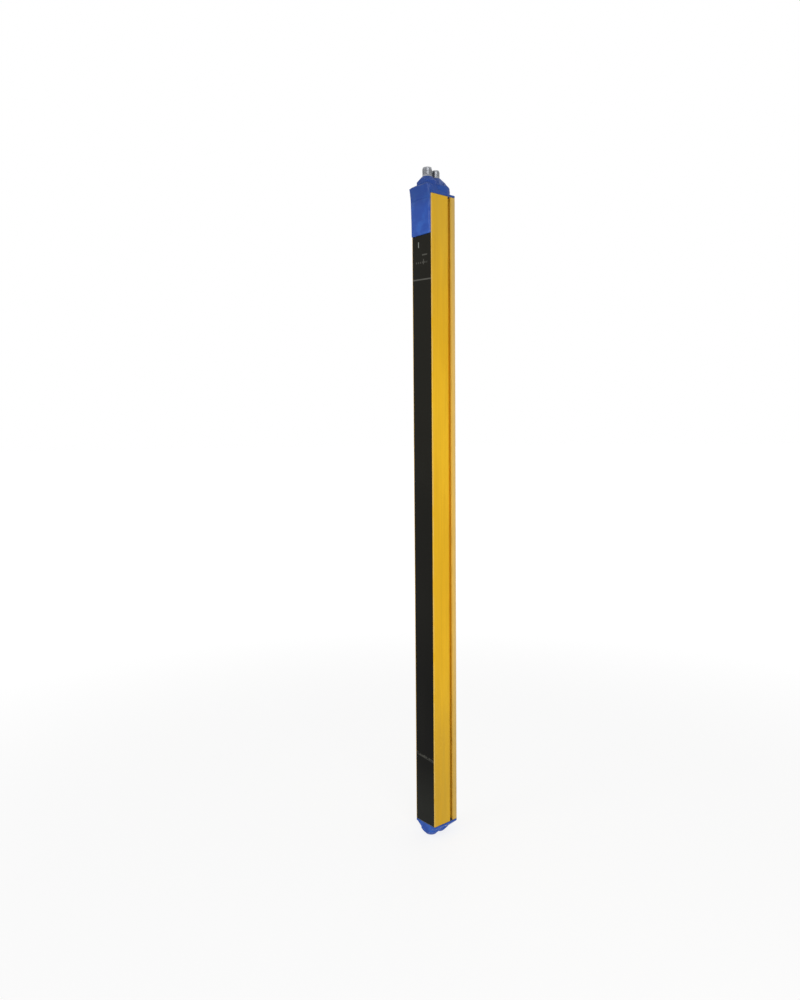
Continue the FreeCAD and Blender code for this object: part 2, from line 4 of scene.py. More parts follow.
import bpy
from mathutils import Matrix, Vector


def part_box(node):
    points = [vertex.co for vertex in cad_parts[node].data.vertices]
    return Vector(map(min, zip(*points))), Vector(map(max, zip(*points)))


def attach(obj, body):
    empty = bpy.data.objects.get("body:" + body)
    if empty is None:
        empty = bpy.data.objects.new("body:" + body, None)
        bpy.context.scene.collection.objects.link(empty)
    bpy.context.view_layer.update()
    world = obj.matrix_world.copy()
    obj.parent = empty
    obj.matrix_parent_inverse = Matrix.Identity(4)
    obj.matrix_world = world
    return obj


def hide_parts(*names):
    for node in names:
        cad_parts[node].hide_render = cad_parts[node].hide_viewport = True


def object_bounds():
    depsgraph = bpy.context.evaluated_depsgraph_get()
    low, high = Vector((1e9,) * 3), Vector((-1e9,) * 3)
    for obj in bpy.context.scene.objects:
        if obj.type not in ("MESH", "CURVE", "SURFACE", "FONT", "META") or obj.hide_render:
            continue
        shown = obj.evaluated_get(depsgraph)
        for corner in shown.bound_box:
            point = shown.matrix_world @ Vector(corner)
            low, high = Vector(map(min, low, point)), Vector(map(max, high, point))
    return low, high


# Dresses one bar of a safety light curtain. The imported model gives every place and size.
# This script adds the threads, round contacts, dressed screws, rounded edges and the upper cap's
# rounded rear, and then the finishes, the floor, the light and the camera.

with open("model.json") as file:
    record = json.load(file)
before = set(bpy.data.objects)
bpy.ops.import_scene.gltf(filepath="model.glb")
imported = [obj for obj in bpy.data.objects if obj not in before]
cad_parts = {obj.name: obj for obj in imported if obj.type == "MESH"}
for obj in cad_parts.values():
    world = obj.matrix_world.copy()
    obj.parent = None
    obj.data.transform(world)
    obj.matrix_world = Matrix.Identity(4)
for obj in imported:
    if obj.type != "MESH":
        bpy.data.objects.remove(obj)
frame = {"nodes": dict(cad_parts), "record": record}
cad_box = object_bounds()
nodes = frame["nodes"]
mounts = {mount["name"]: mount for mount in frame["record"]["mounts"]}
mm = 0.001

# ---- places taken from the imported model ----
bar_low, bar_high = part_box("housing_profile")
window_low, window_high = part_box("front_window")
screws_low, screws_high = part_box("upper_cap_screws")
cap_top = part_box("upper_cap")[1].z
bar_half_width = bar_high.x
bar_front = bar_low.y

# The level where the upper cap sits on its gasket, and the pockets that its screws stand in.
cap_seat = cap_top - 27.0 * mm
pocket_across = 16.0 * mm
pocket_y = (screws_low.y + screws_high.y) / 2


# ---- shader maths ----
class Value:
    """A shader socket that can be used in sums."""

    def __init__(self, wiring, socket):
        self.wiring = wiring
        self.socket = socket

    def _with(self, operation, *others):
        inputs = dict(enumerate([self, *others]))
        return self.wiring.node("ShaderNodeMath", {"operation": operation}, inputs)

    def __add__(self, other):
        return self._with("ADD", other)

    def __sub__(self, other):
        return self._with("SUBTRACT", other)

    def __rsub__(self, other):
        return self.wiring.node("ShaderNodeMath", {"operation": "SUBTRACT"}, {0: other, 1: self})

    def __mul__(self, other):
        return self._with("MULTIPLY", other)

    def __abs__(self):
        return self._with("ABSOLUTE")

    def most(self, other):
        """The larger of two values."""
        return self._with("MAXIMUM", other)

    __radd__ = __add__
    __rmul__ = __mul__


class Wiring:
    """A node tree whose nodes are all added by one method."""

    def __init__(self, tree):
        self.tree = tree

    def node(self, kind, settings=None, inputs=None, output=0):
        """Adds a node: its settings, then its inputs, each a number or another node's Value."""
        made = self.tree.nodes.new(kind)
        for key, value in (settings or {}).items():
            setattr(made, key, value)
        for key, value in (inputs or {}).items():
            if isinstance(value, Value):
                self.tree.links.new(value.socket, made.inputs[key])
            else:
                made.inputs[key].default_value = value
        return made if output is None else Value(self, made.outputs[output])

    def show(self, shader, end):
        """Leads a shader to the tree's output node."""
        self.tree.links.new(shader.socket, self.tree.nodes[end].inputs["Surface"])


class Finish(Wiring):
    """A material that is built around one Principled shader. Lengths in it are millimetres."""

    def __init__(self, name, **fixed):
        self.material = bpy.data.materials.new(name)
        self.material.use_nodes = True
        super().__init__(self.material.node_tree)
        self.shader = self.tree.nodes["Principled BSDF"]
        for words, value in fixed.items():
            self.set(words, value)
        place = self.node("ShaderNodeTexCoord", output="Object")
        scaled = {0: place, "Scale": 1 / mm}
        self.place = self.node("ShaderNodeVectorMath", {"operation": "SCALE"}, scaled)
        apart = self.node("ShaderNodeSeparateXYZ", {}, {0: self.place}, output=None)
        self.x, self.y, self.z = [Value(self, socket) for socket in apart.outputs]

    def set(self, words, value):
        """Sets a socket of the main shader, named with underscores for its spaces."""
        socket = self.shader.inputs[words.replace("_", " ")]
        if isinstance(value, Value):
            self.tree.links.new(value.socket, socket)
        else:
            socket.default_value = value

    def noise(self, size, stretch=(1, 1, 1), detail=2.0, seed=0.0):
        """Clouds from 0 to 1 whose lumps are about size across, and longer where stretch is."""
        scale = tuple(1 / (size * s) for s in stretch)
        moved = {0: self.place, "Scale": scale, "Location": (seed,) * 3}
        spot = self.node("ShaderNodeMapping", {}, moved)
        clouds = {"Vector": spot, "Scale": 1.0, "Detail": detail}
        return self.node("ShaderNodeTexNoise", {}, clouds)

    def rise(self, value, start, end):
        """0 before start, 1 after end and smooth between; start may be the larger one."""
        settings = {"interpolation_type": "SMOOTHSTEP", "clamp": True}
        if start < end:
            return self.node("ShaderNodeMapRange", settings, {0: value, 1: start, 2: end})
        return 1.0 - self.node("ShaderNodeMapRange", settings, {0: value, 1: end, 2: start})

    def band(self, value, low, high, soft):
        """1 between low and high, falling to 0 over a soft width outside."""
        return self.rise(value, low - soft, low) * self.rise(value, high + soft, high)

    def blend(self, factor, first, second):
        """A colour between two colours, each given as red, green and blue or as a Value."""
        inputs = {0: factor, 6: as_colour(first), 7: as_colour(second)}
        return self.node("ShaderNodeMix", {"data_type": "RGBA"}, inputs, output=2)

    def bump(self, height, depth, strength=1.0, under=None):
        """Relief from a height of 0 to 1 that stands for a depth in millimetres."""
        inputs = {"Height": height, "Distance": depth * mm, "Strength": strength}
        if under is not None:
            inputs["Normal"] = under
        return self.node("ShaderNodeBump", {}, inputs)


def as_colour(value):
    """A colour in the form that a colour socket takes."""
    return value if isinstance(value, Value) else (*value, 1.0)


def tint(code):
    """A colour written as six hexadecimal digits, in the renderer's linear light."""
    parts = [int(code[i : i + 2], 16) / 255 for i in (0, 2, 4)]
    return tuple(p / 12.92 if p <= 0.04045 else ((p + 0.055) / 1.055) ** 2.4 for p in parts)


# ---- finishes ----
def yellow_coat():
    """Satin powder coat on the extrusion: orange peel, draw lines, chips, painted corner
    highlights, a painted rear sheen, painted shade at both ends, a darker slot mouth.
    """
    coat = Finish("yellow_powder_coat", Specular_IOR_Level=0.14)
    half = bar_half_width / mm
    front = bar_front / mm
    slot_front, slot_back = -16.8, -10.2
    shade_above, shade_below = (230.0, 470.0), (-160.0, -410.0)
    side = abs(coat.x)
    patches = coat.noise(26.0, (1, 1, 7), 3.0)
    lines = coat.noise(0.9, (1, 1, 160), 2.0, 4.0)
    streaks = coat.noise(6.0, (1, 1, 12), 4.0, 12.0)
    breakup = coat.noise(3.0, (1, 1, 9), 4.0, 9.0)
    colour = coat.blend(coat.rise(patches, 0.35, 0.7), tint("eab41d"), tint("f5c024"))
    colour = coat.blend(coat.rise(lines, 0.5, 0.75) * 0.22, colour, tint("b98c12"))

    # Painted sheen: a pale, streaked strip along the rear edges behind the slot, standing for light
    # caught by the rounded rear corner.
    rear_edges = coat.rise(coat.y, -15.0, -4.0) * coat.rise(side, half - 3.5, half - 1.0)
    rear_sheen = rear_edges * (0.4 + 0.45 * streaks)
    colour = coat.blend(rear_sheen, colour, tint("dcbd84"))
    # Painted shade: the coat darkens in streaks toward the top and the bottom of the bar, where the
    # light falls off.
    ends = coat.rise(coat.z, *shade_above).most(coat.rise(coat.z, *shade_below))
    colour = coat.blend(ends * (0.15 + 0.45 * streaks), colour, tint("b0903a"))

    # Painted highlight: a pale band along the front corners and, fainter, the rear corners, broken
    # up in patches.
    front_corner = coat.rise(side, half - 1.1, half - 0.2)
    front_corner = front_corner * coat.rise(coat.y, front + 1.6, front + 0.6)
    rear_corner = coat.rise(side, half - 2.8, half - 0.6) * coat.rise(coat.y, -3.6, -1.4)
    highlit_corners = front_corner.most(rear_corner * 0.8) * coat.rise(breakup, 0.3, 0.6)
    colour = coat.blend(highlit_corners * 0.5, colour, tint("e4cc8c"))
    # Darker brown along the edges of the slot's mouth, in patches.
    mouth = coat.band(coat.y, slot_front, slot_back, 0.8) * coat.rise(side, half - 0.6, half - 0.1)
    mouth_darkening = mouth * 0.35 * coat.rise(coat.noise(5.0, (1, 1, 6), 4.0, 2.0), 0.4, 0.7)
    colour = coat.blend(mouth_darkening, colour, tint("8a6410"))
    chips = coat.rise(coat.noise(1.3, (1, 1, 1.6), 5.0, 17.0), 0.7, 0.74) * front_corner
    colour = coat.blend(chips, colour, tint("a9a9a6"))

    coat.set("Base_Color", colour)
    coat.set("Metallic", chips)
    worn = 0.15 * mouth_darkening + 0.1 * rear_sheen - 0.08 * highlit_corners
    coat.set("Roughness", 0.42 + 0.12 * coat.noise(9.0, (1, 1, 5), 3.0, 6.0) + worn)
    peel = coat.noise(0.7, (1, 1, 1.3), 2.0, 1.0)
    coat.set("Normal", coat.bump(peel, 0.03, 0.5, coat.bump(lines, 0.02, 0.4)))
    return coat.material


def window_pane():
    """Dark polished acrylic with a printed line, small printed marks, smudges and a scuff, a
    painted dark reflection lower down and a paler painted reflection at its foot.
    """
    pane = Finish("dark_window", Specular_IOR_Level=0.07, IOR=1.42)
    top = window_high.z / mm
    bottom = window_low.z / mm
    front = bar_front / mm
    level = pane.z + 0.05 * pane.x

    def printed(low, high, left, right):
        """A mark between two depths below the window's top and two places across it."""
        return pane.band(level, top - low, top - high, 0.3) * pane.band(pane.x, left, right, 0.2)

    print_line = pane.band(level, top - 63.0, top - 61.4, 0.3)
    dash = printed(17.0, 9.5, -7.6, -6.0)
    bar_mark = printed(28.6, 27.0, 0.6, 11.4)
    stroke = printed(41.0, 34.0, 3.0, 4.4)
    dots = pane.node("ShaderNodeMath", {"operation": "PINGPONG"}, {0: pane.x + 0.2, 1: 2.3})
    row = printed(39.4, 37.2, -12.6, 11.4) * pane.rise(dots, 0.9, 1.3)
    outside = pane.rise(pane.y, front + 1.4, front + 0.9)
    ink = print_line.most(bar_mark * 0.8).most(row * 0.6).most(stroke * 0.8) * outside

    smear = pane.noise(30.0, (1, 1, 4), 4.0, 3.0)
    dust = pane.rise(pane.noise(60.0, (1, 1, 2.5), 5.0, 8.0), 0.45, 0.8)
    colour = pane.blend(dust * 0.5, tint("1f1e18"), tint("2b2a23"))
    # Painted reflection: the pane is darkened in two steps toward its bottom, in smeared patches,
    # as if it mirrored something dark.
    dark_reflection_upper = pane.rise(pane.z, bottom + 640.0, bottom + 430.0)
    dark_reflection_lower = pane.rise(pane.z, bottom + 340.0, bottom + 200.0)
    dark_reflection = 0.5 * dark_reflection_upper + 0.4 * dark_reflection_lower
    colour = pane.blend(dark_reflection * (0.75 + 0.4 * smear), colour, tint("0a0a08"))
    slope = pane.z - (bottom + 103.0) + 0.11 * pane.x
    ragged = pane.noise(4.0, (1, 1, 1), 4.0, 5.0)
    scuff = pane.band(slope, -1.2, 1.2, 1.6) * pane.rise(ragged, 0.35, 0.6)
    colour = pane.blend(scuff * 0.35, colour, tint("77766e"))
    # Painted reflection: a paler, smeared film at the pane's foot, standing for the floor mirrored
    # in it.
    foot = pane.rise(pane.z, bottom + 110.0, bottom + 10.0) * (0.2 + 0.35 * smear)
    colour = pane.blend(foot, colour, tint("353731"))
    colour = pane.blend(ink, colour, tint("5c5b55"))
    colour = pane.blend(dash * outside, colour, tint("8b8f88"))

    pane.set("Base_Color", colour)
    pane.set("Roughness", 0.13 + 0.14 * smear + 0.2 * dust + 0.25 * scuff + 0.2 * ink)
    return pane.material


def blue_plastic():
    """Moulded blue plastic: eroded grain, paler worn edges, a painted highlight round the pocket
    rims, a darker top.
    """
    plastic = Finish("blue_moulded_plastic", Specular_IOR_Level=0.18)
    front = bar_front / mm
    seat = cap_seat / mm
    side = abs(plastic.x)
    patches = plastic.noise(14.0, (1, 1, 1), 3.0)
    breakup = plastic.rise(plastic.noise(2.4, (1, 1, 3), 4.0, 7.0), 0.35, 0.65)
    colour = plastic.blend(plastic.rise(patches, 0.35, 0.7), tint("2b51aa"), tint("3664bd"))
    proud_edge = plastic.rise(side, 17.4, 18.4) * plastic.rise(plastic.y, front, front - 1.2)
    colour = plastic.blend(proud_edge * breakup * 0.5, colour, tint("7086c4"))

    # Painted highlight: a pale ring round the rim of each screw pocket, near the top of the upper
    # cap.
    across = side - pocket_across / mm
    along = plastic.y - pocket_y / mm
    squared = {0: across * across + along * along}
    from_pocket = plastic.node("ShaderNodeMath", {"operation": "SQRT"}, squared)
    rim_highlight = plastic.band(from_pocket, 3.5, 4.3, 0.4)
    rim_highlight = rim_highlight * plastic.rise(plastic.z, seat + 12.0, seat + 14.0)
    colour = plastic.blend(rim_highlight * (0.3 + 0.5 * breakup), colour, tint("93a5da"))

    scratches = plastic.noise(0.6, (9, 1, 1), 3.0, 12.0)
    fine = plastic.rise(scratches, 0.66, 0.7) * plastic.rise(patches, 0.4, 0.55)
    colour = plastic.blend(fine * 0.25, colour, tint("8d9dd0"))
    # Darker towards the top of the parts, in patches.
    top_darkening = plastic.rise(plastic.z, seat - 25.0, seat + 3.0) * (0.25 + 0.5 * patches)
    colour = plastic.blend(top_darkening, colour, tint("1c3673"))

    plastic.set("Base_Color", colour)
    plastic.set("Roughness", 0.4 + 0.14 * patches + 0.1 * fine)
    grain = plastic.noise(0.45, (1, 1, 1), 3.0, 2.0)
    plastic.set("Normal", plastic.bump(grain, 0.035, 0.55))
    return plastic.material


def bright_nickel():
    """Nickel plate with faint turning marks and a duller film in patches."""
    nickel = Finish("nickel_plate", Metallic=1.0)
    turned = nickel.noise(0.12, (40, 40, 1), 2.0)
    film = nickel.rise(nickel.noise(4.0, (1, 1, 1), 4.0, 3.0), 0.4, 0.7)
    colour = nickel.blend(film * 0.5, tint("9c9ea2"), tint("76797f"))
    nickel.set("Base_Color", colour)
    nickel.set("Roughness", 0.26 + 0.12 * turned + 0.14 * film)
    nickel.set("Normal", nickel.bump(turned, 0.01, 0.3))
    return nickel.material


def plated(name, bright, dull, roughness):
    """A metal with a patchy film."""
    metal = Finish(name, Metallic=1.0)
    film = metal.rise(metal.noise(1.6, (1, 1, 1), 4.0), 0.35, 0.7)
    metal.set("Base_Color", metal.blend(film, tint(bright), tint(dull)))
    metal.set("Roughness", roughness + 0.15 * film)
    return metal.material


def grained(name, dark, light, roughness, grain_size, relief):
    """A plastic, rubber or foam with cloudy colour and a grain of its own size."""
    stuff = Finish(name)
    cloud = stuff.rise(stuff.noise(grain_size * 18, (1, 1, 1), 3.0), 0.3, 0.7)
    grain = stuff.noise(grain_size, (1, 1, 1), 3.0, 5.0)
    stuff.set("Base_Color", stuff.blend(cloud, tint(dark), tint(light)))
    stuff.set("Roughness", roughness + 0.12 * grain)
    stuff.set("Normal", stuff.bump(grain, relief, 0.6))
    return stuff.material


def circuit_board():
    """Green solder mask over copper tracks that run along the board."""
    board = Finish("circuit_board", Specular_IOR_Level=0.5)
    ripple = board.node("ShaderNodeMath", {"operation": "PINGPONG"}, {0: board.x, 1: 0.9})
    wander = board.noise(3.0, (1, 1, 12), 1.0)
    tracks = board.rise(ripple + wander * 0.6, 0.72, 0.82)
    board.set("Base_Color", board.blend(tracks, tint("0f4a2a"), tint("1d6a3a")))
    board.set("Roughness", 0.35 + 0.1 * wander)
    board.set("Normal", board.bump(tracks, 0.035, 0.8))
    return board.material


def clear_acrylic():
    """Clear moulded lenses, seen only when the bar is apart."""
    clear = Finish("clear_acrylic", Transmission_Weight=0.9, IOR=1.49)
    haze = clear.noise(6.0, (1, 1, 1), 3.0)
    clear.set("Base_Color", clear.blend(haze, tint("e9ecee"), tint("f6f8f8")))
    clear.set("Roughness", 0.04 + 0.06 * haze)
    return clear.material


finishes = {
    "yellow_aluminium": yellow_coat(),
    "window_black": window_pane(),
    "cap_blue": blue_plastic(),
    "foam_black": grained("black_foam", "141414", "202020", 0.8, 0.35, 0.12),
    "gasket_grey": grained("grey_rubber", "3f4650", "565c62", 0.6, 0.3, 0.04),
    "screw_steel": plated("zinc_plate", "b9b7ae", "8e8b80", 0.3),
    "nickel_brass": bright_nickel(),
    "insert_black": grained("black_moulding", "0f0f10", "1b1b1c", 0.45, 0.2, 0.02),
    "contact_gold": plated("gold_flash", "d9b25e", "b98f3c", 0.22),
    "board_green": circuit_board(),
    "carrier_black": grained("carrier_moulding", "121213", "1e1e20", 0.55, 0.3, 0.03),
    "lens_clear": clear_acrylic(),
    "diode_dark": grained("dark_epoxy", "150f18", "241a2a", 0.2, 0.5, 0.01),
    "ribbon_tan": grained("polyimide", "8a4f14", "a8651d", 0.35, 0.8, 0.02),
    "display_body": grained("display_moulding", "6f7173", "7d7f80", 0.5, 0.3, 0.02),
    "lamp_clear": grained("lamp_epoxy", "c9c9bd", "dcdccf", 0.2, 0.5, 0.01),
    "parts_dark": grained("component_moulding", "17171a", "26262a", 0.4, 0.3, 0.02),
    "spring_steel": plated("spring_steel", "a29d8c", "7d786a", 0.35),
}


def dress_cad_nodes():
    """Gives every carried-over node the finish of its material slot."""
    for part in frame["record"]["subparts"]:
        mesh = nodes[part["node"]].data
        mesh.materials.clear()
        mesh.materials.append(finishes[part["material_slot"]])


# ---- modelling helpers ----
def clear_selection():
    """Leaves edit mode and selects nothing."""
    if bpy.context.object is not None and bpy.context.object.mode != "OBJECT":
        bpy.ops.object.mode_set(mode="OBJECT")
    bpy.ops.object.select_all(action="DESELECT")


def work_on(*pieces):
    """Selects these pieces alone and makes the first one active."""
    clear_selection()
    for piece in pieces:
        piece.select_set(True)
    bpy.context.view_layer.objects.active = pieces[0]


def settled():
    """The primitive that was just added, with its place and turn put into its mesh."""
    bpy.ops.object.transform_apply(location=True, rotation=True, scale=True)
    return bpy.context.object


def pick(kind, wanted):
    """Selects the faces or edges of the edited mesh for which wanted is true, and nothing else."""
    bpy.ops.mesh.select_mode(type=kind)
    bpy.ops.mesh.select_all(action="DESELECT")
    bpy.ops.object.mode_set(mode="OBJECT")
    mesh = bpy.context.object.data
    for item in mesh.polygons if kind == "FACE" else mesh.edges:
        item.select = wanted(mesh, item)
    bpy.ops.object.mode_set(mode="EDIT")


def pick_open_rims():
    """Selects the rims of the edited mesh's openings, and nothing else."""
    pick("EDGE", lambda mesh, edge: False)
    bpy.ops.mesh.select_non_manifold()


def is_cap(end):
    """Picks the level end faces of an upright round: 1 for the top, -1 the bottom, 0 both."""
    return lambda mesh, face: abs(face.normal.z) > 0.9 and face.normal.z * end >= 0


def is_disc(sides):
    """Picks the many-sided faces that close the ends of a round."""
    return lambda mesh, face: len(face.vertices) == sides


def at_height(z):
    """Picks the edges that lie level at a height."""
    return lambda mesh, edge: all(abs(mesh.vertices[v].co.z - z) < 1e-6 for v in edge.vertices)


def add_round(name, centre, radius, low, high, sides):
    """An upright round, left in edit mode with its place in its mesh."""
    clear_selection()
    middle = (centre.x, centre.y, (low + high) / 2)
    bpy.ops.mesh.primitive_cylinder_add(
        vertices=sides, radius=radius, depth=high - low, location=middle
    )
    made = settled()
    made.name = made.data.name = name
    bpy.ops.object.mode_set(mode="EDIT")
    return made


def bore_through(wall):
    """Turns the edited round into a tube with that wall."""
    pick("FACE", is_cap(0))
    bpy.ops.mesh.inset(thickness=wall, use_individual=True)
    bpy.ops.mesh.delete(type="FACE")
    pick_open_rims()
    bpy.ops.mesh.bridge_edge_loops()


def add_tube(name, centre, radius, wall, low, high, sides):
    """An upright tube, left in edit mode."""
    made = add_round(name, centre, radius, low, high, sides)
    bore_through(wall)
    return made


def bevel_edges(z, width, segments=2):
    """Bevels the edges of the edited mesh that lie level at a height."""
    pick("EDGE", at_height(z))
    bpy.ops.mesh.bevel(offset=width, segments=segments, profile=0.6)


def face_outwards():
    """Turns all faces of the edited mesh outwards."""
    bpy.ops.mesh.select_all(action="SELECT")
    bpy.ops.mesh.normals_make_consistent(inside=False)


def finish_piece(pieces, name, slot, node, angle=30):
    """Joins the pieces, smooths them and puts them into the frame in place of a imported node."""
    work_on(*pieces)
    if len(pieces) > 1:
        bpy.ops.object.join()
    bpy.ops.object.shade_smooth_by_angle(angle=math.radians(angle))
    whole = bpy.context.object
    whole.name = whole.data.name = name
    whole.data.materials.clear()
    whole.data.materials.append(finishes[slot])
    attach(whole, "root")
    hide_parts(node)


def copy_of(piece, offset):
    """A copy of a finished mesh, moved by an offset."""
    twin = piece.copy()
    twin.data = piece.data.copy()
    twin.data.transform(Matrix.Translation(offset))
    bpy.context.collection.objects.link(twin)
    return twin


# ---- connectors ----
hexagon = 6
shell_sides = 72
shell_wall = 1.4 * mm
rim_bevel = 0.22 * mm
flange_top = cap_top - 4.5 * mm
neck_top = cap_top + 0.5 * mm
neck_overhang = 0.12 * mm
neck_wall_share = 0.2
collar_low = neck_top - 0.4 * mm
collar_high = neck_top + 0.9 * mm
collar_overhang = 0.22 * mm
collar_bevel = 0.2 * mm
thread_pitch = 1.0 * mm
thread_depth = 0.58 * mm
thread_flank = 0.62 * thread_depth
thread_steps = 56
thread_start = neck_top + 1.6 * mm
thread_run_out = 0.9 * mm
contact_radius = 0.45 * mm
contact_dome = 0.6 * contact_radius


def connector_axis(name):
    """The middle of a connector and its thread's outer radius."""
    mount = mounts[f"{name}_connector"]
    return Vector(mount["pos_m"]), mount["dims"]["r_mm"] * mm


def thread_ridge(centre, radius, low, high):
    """One helical ridge with rounded flanks, swept round the connector's axis."""
    clear_selection()
    upright = (math.pi / 2, 0, 0)
    bpy.ops.mesh.primitive_circle_add(vertices=5, radius=thread_flank, rotation=upright)
    ridge = settled()
    ridge.data.transform(Matrix.Translation((radius - thread_flank, 0, low)))
    sweep = ridge.modifiers.new("sweep", "SCREW")
    sweep.screw_offset = thread_pitch
    sweep.iterations = int((high - low) / thread_pitch)
    sweep.steps = sweep.render_steps = thread_steps
    sweep.use_merge_vertices = False
    bpy.ops.object.modifier_apply(modifier="sweep")
    bpy.ops.object.mode_set(mode="EDIT")
    pick_open_rims()
    bpy.ops.mesh.edge_face_add()
    face_outwards()
    bpy.ops.object.mode_set(mode="OBJECT")
    ridge.data.transform(Matrix.Translation((centre.x, centre.y, 0)))
    return ridge


def connector_shell(name):
    """The threaded tube of one connector, its collar, hexagon neck and the flange in the cap."""
    centre, radius = connector_axis(name)
    node = f"{name}_connector_shell"
    low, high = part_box(node)
    root = radius - thread_depth
    wall = shell_wall - thread_depth
    tube = add_tube("tube", centre, root, wall, low.z, high.z, shell_sides)
    bevel_edges(high.z, rim_bevel, 3)
    around = radius + collar_overhang
    wall = around - root
    collar = add_tube("collar", centre, around, wall, collar_low, collar_high, shell_sides)
    bevel_edges(collar_high, collar_bevel)
    around = radius + neck_overhang
    wall = radius * neck_wall_share
    neck = add_tube("neck", centre, around, wall, flange_top, neck_top, hexagon)
    around = (high.x - low.x) / 2
    wall = around - root
    flange = add_tube("flange", centre, around, wall, low.z, flange_top, hexagon)
    ridge = thread_ridge(centre, radius, thread_start, high.z - thread_run_out)
    pieces = [tube, collar, neck, flange, ridge]
    finish_piece(pieces, f"{name}_threaded_shell", "nickel_brass", node)


def connector_contacts(name, count, circle):
    """Round contacts with domed tips, one at the centre and the rest on a circle."""
    centre, _ = connector_axis(name)
    node = f"{name}_connector_contacts"
    low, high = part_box(node)
    first = add_round("contact", centre, contact_radius, low.z, high.z, 20)
    bevel_edges(high.z, contact_dome, 3)
    bpy.ops.object.mode_set(mode="OBJECT")
    turns = [2 * math.pi * (i + 0.5) / (count - 1) for i in range(count - 1)]
    spots = [Vector((circle * math.cos(turn), circle * math.sin(turn), 0)) for turn in turns]
    ring = [copy_of(first, spot) for spot in spots]
    finish_piece([first, *ring], f"{name}_round_contacts", "contact_gold", node, angle=50)


# ---- cap screws ----
screw_head_length = 2.6 * mm
screw_head_radius = 3.1 * mm
washer_thickness = 0.6 * mm
washer_radius = 3.3 * mm
shank_radius = 1.65 * mm
head_overlap = 0.1 * mm
shank_overlap = 0.2 * mm


def cap_screws(end):
    """Hexagon-headed screws with a washer face for one cap: 1 is the top one, -1 the bottom."""
    node = "upper_cap_screws" if end > 0 else "lower_cap_screws"
    low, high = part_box(node)
    box_radius = (high.y - low.y) / 2
    head_top, tip = (high.z, low.z) if end > 0 else (low.z, high.z)
    foot = head_top - end * screw_head_length
    centre = Vector((high.x - box_radius * math.cos(math.pi / 6), (low.y + high.y) / 2, 0))
    washer_top = foot + end * washer_thickness
    spans = (
        ("head", screw_head_radius, washer_top - end * head_overlap, head_top, hexagon),
        ("washer", washer_radius, foot, washer_top, 40),
        ("shank", shank_radius, tip, foot + end * shank_overlap, 28),
    )
    pieces = []
    for name, radius, start, stop, sides in spans:
        piece = add_round(name, centre, radius, min(start, stop), max(start, stop), sides)
        if name != "shank":
            bevel_edges(stop, rim_bevel)
        bpy.ops.object.mode_set(mode="OBJECT")
        pieces.append(piece)
    pieces += [copy_of(piece, Vector((-2 * centre.x, 0, 0))) for piece in pieces]
    finish_piece(pieces, f"{node}_dressed", "screw_steel", node)


# ---- moulded plastic ----
weld_distance = 0.002 * mm
flat_angle = math.radians(0.5)
sharp_angle = math.radians(32)
mould_round = 0.4 * mm
rib_radius = 0.84 * mm
rib_length = 19.6 * mm
rib_y = bar_high.y - 4.9 * mm
rib_z = cad_box[0].z + 11.55 * mm


def subtract(piece, cutter):
    """Cuts one closed mesh out of another and removes the cutter."""
    work_on(piece)
    cut = piece.modifiers.new("cut", "BOOLEAN")
    cut.operation = "DIFFERENCE"
    cut.object = cutter
    bpy.ops.object.modifier_apply(modifier="cut")
    bpy.data.objects.remove(cutter)


def merged_copy(node):
    """A copy of a part's mesh with its triangles joined up."""
    piece = bpy.data.objects.new(f"{node}_rounded", nodes[node].data.copy())
    bpy.context.collection.objects.link(piece)
    work_on(piece)
    bpy.ops.object.mode_set(mode="EDIT")
    bpy.ops.mesh.select_all(action="SELECT")
    bpy.ops.mesh.remove_doubles(threshold=weld_distance)
    bpy.ops.mesh.dissolve_limited(angle_limit=flat_angle)
    bpy.ops.object.mode_set(mode="OBJECT")
    return piece


def soften(piece):
    """Rounds the sharp edges of a moulded part."""
    work_on(piece)
    rounding = piece.modifiers.new("rounding", "BEVEL")
    rounding.limit_method = "ANGLE"
    rounding.angle_limit = sharp_angle
    rounding.width = mould_round
    rounding.segments = 2
    rounding.use_clamp_overlap = True
    bpy.ops.object.modifier_apply(modifier="rounding")


def finish_moulding(node, pieces):
    """Finishes a blue part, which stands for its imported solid."""
    finish_piece(pieces, f"{node}_rounded", "cap_blue", node, angle=35)


def moulded(node, added=()):
    """A moulded blue part with rounded edges, and what is added to it."""
    piece = merged_copy(node)
    soften(piece)
    finish_moulding(node, [piece, *added])


def lower_cap_rib():
    """A level round rib that closes the thin top edge of the lower cap's room at its rear."""
    clear_selection()
    place = (0, rib_y, rib_z)
    lying = (0, math.pi / 2, 0)
    bpy.ops.mesh.primitive_cylinder_add(
        vertices=32, radius=rib_radius, depth=rib_length, location=place, rotation=lying
    )
    return settled()


# ---- upper cap with its rounded rear ----
flange_rim = cap_seat + 2.4 * mm
trim_overlap = 0.3 * mm
dome_sides = 64
dome_radius = 20.4 * mm
dome_crown = 13.4 * mm
dome_wall = 1.0 * mm
dome_recess = 9.2 * mm
dome_foot = cap_seat + 1.6 * mm
dome_shoulder = cap_seat + 13.0 * mm
dome_top = cap_seat + 20.6 * mm
dome_round = 1.6 * mm
pocket_radius = 3.6 * mm
pip_across = 8.2 * mm
pip_forward = 7.75 * mm
pip_radius = 1.1 * mm
pip_low = cap_seat + 22.4 * mm
pip_high = cap_seat + 24.0 * mm


def rear_trimmer(centre):
    """Half a tube, which takes the shoulder's rear corners off down to the flange."""
    outer = 2 * dome_radius
    wall = dome_radius - trim_overlap
    trimmer = add_tube("trimmer", centre, outer, wall, flange_rim, cap_top + mm, dome_sides)
    bpy.ops.mesh.select_all(action="SELECT")
    bpy.ops.mesh.bisect(plane_co=centre, plane_no=(0, -1, 0), use_fill=True, clear_outer=True)
    bpy.ops.object.mode_set(mode="OBJECT")
    return trimmer


def extrude_by(height):
    """Extrudes the picked faces of the edited mesh upwards."""
    bpy.ops.mesh.extrude_region_move(TRANSFORM_OT_translate={"value": (0, 0, height)})


